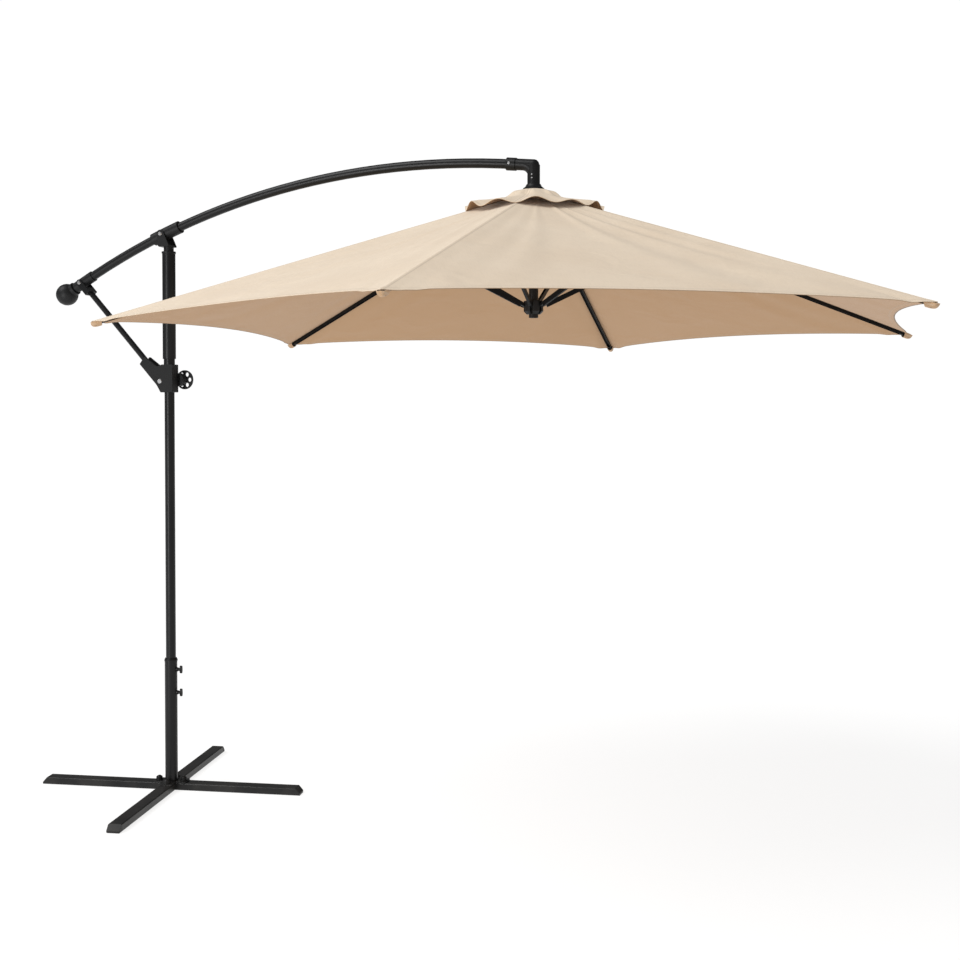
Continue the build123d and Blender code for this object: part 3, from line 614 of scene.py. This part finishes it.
@dataclass
class Cover:
    """The sewn cover: six sectors in two halves each, sewn along the rib, that meet at mid-gore as one even
    sheet, and above them the six parts of the vent flap."""

    finishes: Finishes
    hub: tuple[float, float] = field(default_factory=hub_axis)
    apex: float = 2.2369
    fall: float = 0.32188
    tip: float = 1.473
    vent: float = 0.110
    scallop: float = 0.080
    thick: float = 0.0009
    hem: float = 0.021
    seam: float = 0.0065
    saddle: float = 0.011
    flap_top: float = 2.2405
    flap_inner: float = 0.0485
    flap_outer: float = 0.246
    flap_rise: float = 0.023
    flap_hem: float = 0.012
    pocket_hem: float = 0.006
    pocket_drop: float = 0.0190
    pocket_half: float = 0.0140
    corner_pull: float = 0.0035
    ripple: float = 0.0012
    gathered: float = 0.095
    gather_lift: float = 0.45
    folds: tuple[Fold, ...] = (
        Fold(4, 0.50, 0.655, 0.0042, 0.055), Fold(4, 0.30, 0.20, 0.0020, 0.05),
        Fold(4, 0.62, 0.90, 0.0018, 0.04), Fold(3, 0.55, 0.35, 0.0026), Fold(3, 0.75, 0.88, 0.0018),
        Fold(2, 0.40, 0.62, 0.0028), Fold(2, 0.25, 0.12, 0.0020), Fold(1, 0.60, 0.42, 0.0026),
        Fold(0, 0.45, 0.66, 0.0028), Fold(0, 0.30, 0.15, 0.0018), Fold(5, 0.52, 0.33, 0.0028))

    def cloth_height(self, r: np.ndarray) -> np.ndarray:
        """Height of the cover over a rib at distance r from the hub."""
        return self.apex - self.fall * r

    def half_surface(self, k: int, side: Side, rows: int, columns: int) -> tuple[np.ndarray, ...]:
        """Middle surface of half a sector in its rib frame.

        With u from the vent to the rim and v across from 0 at the rib to 1 at mid-gore, w = v rounded at the
        rib.  A row runs from its rib point to its mid-gore point along the gore's plane, pulled in by
        1 - (1 - w)^2, which is the scallop at the rim, and lowered by the same share of a saddle that is
        deepest past halfway.  Tension folds and the pull lines of the corner stitching are added on top.

        Args:
            k: Rib number.
            side: Which half.
            rows: Points from vent to rim.
            columns: Points across.

        Returns:
            Points, distance to the rim, distance to the rib, and the flat map.
        """
        u = np.linspace(0.0, 1.0, rows) ** 0.9
        v = np.linspace(0.0, 1.0, columns) ** 1.2
        u, v = np.meshgrid(u, v, indexing="ij")
        soft = 0.008
        w = np.clip((np.sqrt(v ** 2 + soft ** 2) - soft) / (math.sqrt(1 + soft ** 2) - soft), 0.0, 1.0)
        along = self.vent + u * (self.tip - self.vent)
        share = 1 - (1 - w) ** 2
        rib_x = along * math.cos(HALF)
        x_m = rib_x - self.scallop * u ** 1.6 * share
        y_m = along * math.sin(HALF) * (1 - w)
        slope = self.fall / math.cos(HALF)
        tight = np.sin(u ** 0.8 * math.pi * 0.8)
        z = self.apex - slope * x_m - self.saddle * tight * share
        gore, place = (k, w / 2) if side is Side.LEFT else ((k - 1) % RIBS, 1 - w / 2)
        for fold in self.folds:
            z = z + fold.rise(gore, place, u)
        pull = np.exp(-((u - 1.0) / 0.10) ** 2) * np.exp(-((w - 0.09) / 0.05) ** 2)
        z = z - self.corner_pull * pull * (1.0 + 0.4 * np.sin(60.0 * w + 3.0 * k))
        z = z + self.ripple * np.sin(23.0 * w + 7.0 * u + k) * share * (1 - share) * np.sin(math.pi * u) * 4
        x = x_m * math.cos(HALF) + y_m * math.sin(HALF)
        y = side.value * (x_m * math.sin(HALF) - y_m * math.cos(HALF))
        stretch = math.sqrt(1 + slope ** 2)
        points = np.stack([x, y, z], -1)
        rim = (rib_x[-1:] - self.scallop * share[-1:] - x_m) * stretch
        return points, np.abs(rim), np.abs(y), np.stack([x_m * stretch, side.value * y_m], -1)

    def fold_up(self, piece: bpy.types.Object, k: int) -> None:
        """Makes a piece ride on rib k.

        Args:
            piece: The piece.
            k: Rib number.
        """
        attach(piece, f"rib_{k}")
        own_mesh(piece)

    def build_sector(self, k: int) -> None:
        """Builds the two halves of sector k, joined along the rib by a felled seam.

        Each half rides on rib k. The direction a half would gather along as the canopy folds, its gore plane
        tipped out by gather_lift, is worked out but not applied.

        Args:
            k: Rib number.
        """
        for side in Side:
            points, rim, rib, flat = self.half_surface(k, side, 90, 56)
            thick = self.thick * (1 + 1.4 * (1 - smoothstep(self.hem - 0.0012, self.hem + 0.0012, rim)))
            thick = thick + self.thick * 1.2 * (1 - smoothstep(self.seam - 0.001, self.seam + 0.001, rib))
            piece = closed_sheet(f"cover_{k}_{side.name.lower()}", turned(points, rib_turn(k), self.hub),
                                 thick, {"rim": rim, "rib": rib}, flat)
            self.finishes.dress(piece, Slot.CLOTH)
            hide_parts(f"canopy_sector_{k}")
            normal = np.array([self.fall, side.value * self.fall * math.tan(HALF), 1.0])
            normal /= np.linalg.norm(normal)
            across = side.value * np.cross(normal, (1.0, 0.0, -self.fall))
            across = across / np.linalg.norm(across) - self.gather_lift * self.gathered * normal
            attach(piece, f"rib_{k}")
            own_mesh(piece)

    def build_flap(self, k: int) -> None:
        """Builds the part of the vent flap over rib k.

        With u from the hub to the edge and v across, the flap drops steeply off the hub, then runs beside
        the cover; its edge lifts in two lobes a sector and dips to the cover at the rib and at mid-gore.
        Slow waves make each lobe different, and a short gather rings the hub.

        Args:
            k: Rib number.
        """
        rows, columns = 56, 81
        u, v = np.meshgrid(np.linspace(0, 1, rows), np.linspace(-1, 1, columns), indexing="ij")
        theta = v * HALF
        turn = theta + rib_turn(k)
        lobe = 0.5 - 0.5 * np.cos(2 * math.pi * v + 0.35 * np.sin(2 * turn))
        size = 1 + 0.22 * np.sin(2 * turn + 0.4) + 0.16 * np.sin(5 * turn + 1.9)
        edge = self.flap_outer * (0.985 + 0.015 * lobe + 0.012 * np.sin(3 * turn + 0.6))
        r = self.flap_inner + u * (edge - self.flap_inner)
        span = r - self.flap_inner
        over = self.cloth_height(r) + 0.0035
        lift = self.flap_top - self.cloth_height(self.flap_inner) - 0.0035
        base = over + lift * (1 - smoothstep(-0.002, 0.075, span))
        gather = np.sin(8 * turn + 1.6 * np.sin(2 * turn + 1.0)) + 0.5 * np.sin(13 * turn + 0.7)
        gather = 0.0048 * gather * np.exp(-((span - 0.030) / 0.018) ** 2)
        z = base + self.flap_rise * size * lobe * u ** 1.7 + gather
        roll = 0.010 * lobe * size * smoothstep(0.82, 1.0, u)
        r = r - roll * 0.35
        z = z - roll * 0.25
        points = np.stack([r * np.cos(theta), r * np.sin(theta), z], -1)
        rim = (edge - self.flap_inner) * (1 - u)
        thick = self.thick * (1 + 1.2 * (1 - smoothstep(self.flap_hem - 0.001, self.flap_hem + 0.001, rim)))
        flat = np.stack([r, r * theta], -1)
        piece = closed_sheet(f"vent_flap_{k}", turned(points, rib_turn(k), self.hub), thick,
                             {"rim": rim + self.hem - self.flap_hem, "rib": np.abs(r * theta)}, flat)
        self.finishes.dress(piece, Slot.CLOTH)
        self.fold_up(piece, k)

    def build_pocket(self, k: int) -> None:
        """Builds the sewn pocket that holds the end of rib k.

        Its section is a sagging arc under the rib between the two seam lines; it runs from a little
        inside the rib's end to the corner, where it closes against the cover.

        Args:
            k: Rib number.
        """
        rows, columns = 22, 25
        u, v = np.meshgrid(np.linspace(0, 1, rows), np.linspace(-1, 1, columns), indexing="ij")
        reach = self.tip - 0.033 + 0.0345 * u
        half = self.pocket_half * (1 - 0.28 * u ** 2)
        closing = np.sqrt(np.clip(1 - u ** 4, 0, 1))
        hang = self.pocket_drop * closing * (1 - v ** 2) ** 0.55 + 0.0006
        z = self.cloth_height(reach) - 0.0016 - self.fall * math.tan(HALF) * np.abs(half * v) * 0.5 - hang
        points = np.stack([reach, half * v, z], -1)
        piece = closed_sheet(f"corner_pocket_{k}", turned(points, rib_turn(k), self.hub),
                             np.full(u.shape, 0.0012),
                             {"rim": (1 - np.abs(v)) * half + self.hem - self.pocket_hem,
                              "rib": np.full(u.shape, 0.05)},
                             np.stack([reach, half * v], -1), underside_shade_share=0.9)
        self.finishes.dress(piece, Slot.CLOTH)
        self.fold_up(piece, k)

    def build(self) -> None:
        """Builds every sector, flap part and pocket."""
        for k in range(RIBS):
            self.build_sector(k)
            self.build_flap(k)
            self.build_pocket(k)


# --------------------------------------------------------------------- studio


@dataclass
class Studio:
    """Pale floor, soft light and the camera."""

    eye: tuple[float, float, float] = (2.7480, -4.1310, 1.484)
    turn_deg: float = 19.56
    pitch_deg: float = 1.26
    lens: float = 46.42
    shift_y: float = -0.0460
    floor_tone: float = 0.24
    floor_glow: float = 0.80
    sky_lit: float = 0.52
    sky_seen: float = 0.50
    sky_glossy: float = -0.36
    sun_power: float = 1.9
    sun_spread_deg: float = 38

    def camera(self) -> None:
        """Places the camera level with the handle, looking a little down."""
        data = bpy.data.cameras.new("camera")
        data.lens, data.sensor_width, data.shift_y = self.lens, 36.0, self.shift_y
        data.clip_end = 60.0
        eye = bpy.data.objects.new("camera", data)
        eye.location = self.eye
        eye.rotation_euler = (math.radians(90 - self.pitch_deg), 0.0, math.radians(self.turn_deg))
        bpy.context.scene.collection.objects.link(eye)
        bpy.context.scene.camera = eye

    def floor(self) -> None:
        """Lays a wide pale floor that glows a little, as a lit studio table does."""
        r = 40.0
        piece = new_piece("studio_floor", np.array([[-r, -r, 0], [r, -r, 0], [r, r, 0], [-r, r, 0]], float),
                          [[0, 1, 2, 3]], smooth=False)
        material = bpy.data.materials.new("studio_paper")
        material.use_nodes = True
        shader = material.node_tree.nodes["Principled BSDF"]
        shader.inputs["Base Color"].default_value = (self.floor_tone,) * 3 + (1,)
        shader.inputs["Roughness"].default_value = 0.95
        shader.inputs["Specular IOR Level"].default_value = 0.0
        shader.inputs["Emission Color"].default_value = (1, 1, 1, 1)
        shader.inputs["Emission Strength"].default_value = self.floor_glow
        piece.data.materials.append(material)

    def light(self, name: str, place: tuple[float, float, float], aim: tuple[float, float, float],
              size: tuple[float, float], power: float) -> None:
        """Hangs one soft oblong light.

        Args:
            name: Light name.
            place: Its position.
            aim: The point it faces.
            size: Width and height in metres.
            power: Watts.
        """
        data = bpy.data.lights.new(name, "AREA")
        data.shape, data.size, data.size_y, data.energy = "RECTANGLE", size[0], size[1], power
        lamp = bpy.data.objects.new(name, data)
        lamp.location = place
        lamp.rotation_euler = (Vector(aim) - Vector(place)).to_track_quat("-Z", "Y").to_euler()
        bpy.context.scene.collection.objects.link(lamp)

    def sky(self) -> None:
        """Hangs an even white backdrop, dimmer in reflections so that tubes keep dark edges."""
        world = bpy.data.worlds.new("studio")
        world.use_nodes = True
        w = Wiring(world.node_tree)
        backdrop = world.node_tree.nodes["Background"]
        path = w.add("ShaderNodeLightPath")
        backdrop.inputs["Color"].default_value = (1, 1, 1, 1)
        seen = w.math("MULTIPLY_ADD", path.outputs["Is Camera Ray"], self.sky_seen, self.sky_lit)
        seen = w.math("MULTIPLY_ADD", path.outputs["Is Glossy Ray"], self.sky_glossy, seen)
        w.join(seen, backdrop.inputs["Strength"])
        bpy.context.scene.world = world

    def build(self) -> None:
        """Sets up the whole studio."""
        self.camera()
        self.floor()
        self.sky()
        data = bpy.data.lights.new("key", "SUN")
        data.energy, data.angle = self.sun_power, math.radians(self.sun_spread_deg)
        sun = bpy.data.objects.new("key", data)
        sun.rotation_euler = Vector((0.62, 0.52, -1.0)).to_track_quat("-Z", "Y").to_euler()
        bpy.context.scene.collection.objects.link(sun)
        self.light("edge", (-0.7, -4.2, 1.25), (0.0, 0.0, 1.25), (0.45, 2.6), 85)
        bpy.context.scene.view_settings.view_transform = "Standard"


def main() -> None:
    """Builds the umbrella and the studio."""
    logging.basicConfig(level=logging.INFO, format="%(name)s %(message)s")
    finishes = Finishes()
    finishes.build()
    finishes.dress_frame()
    Cover(finishes).build()
    Studio().build()


if __name__ == "__main__":
    main()
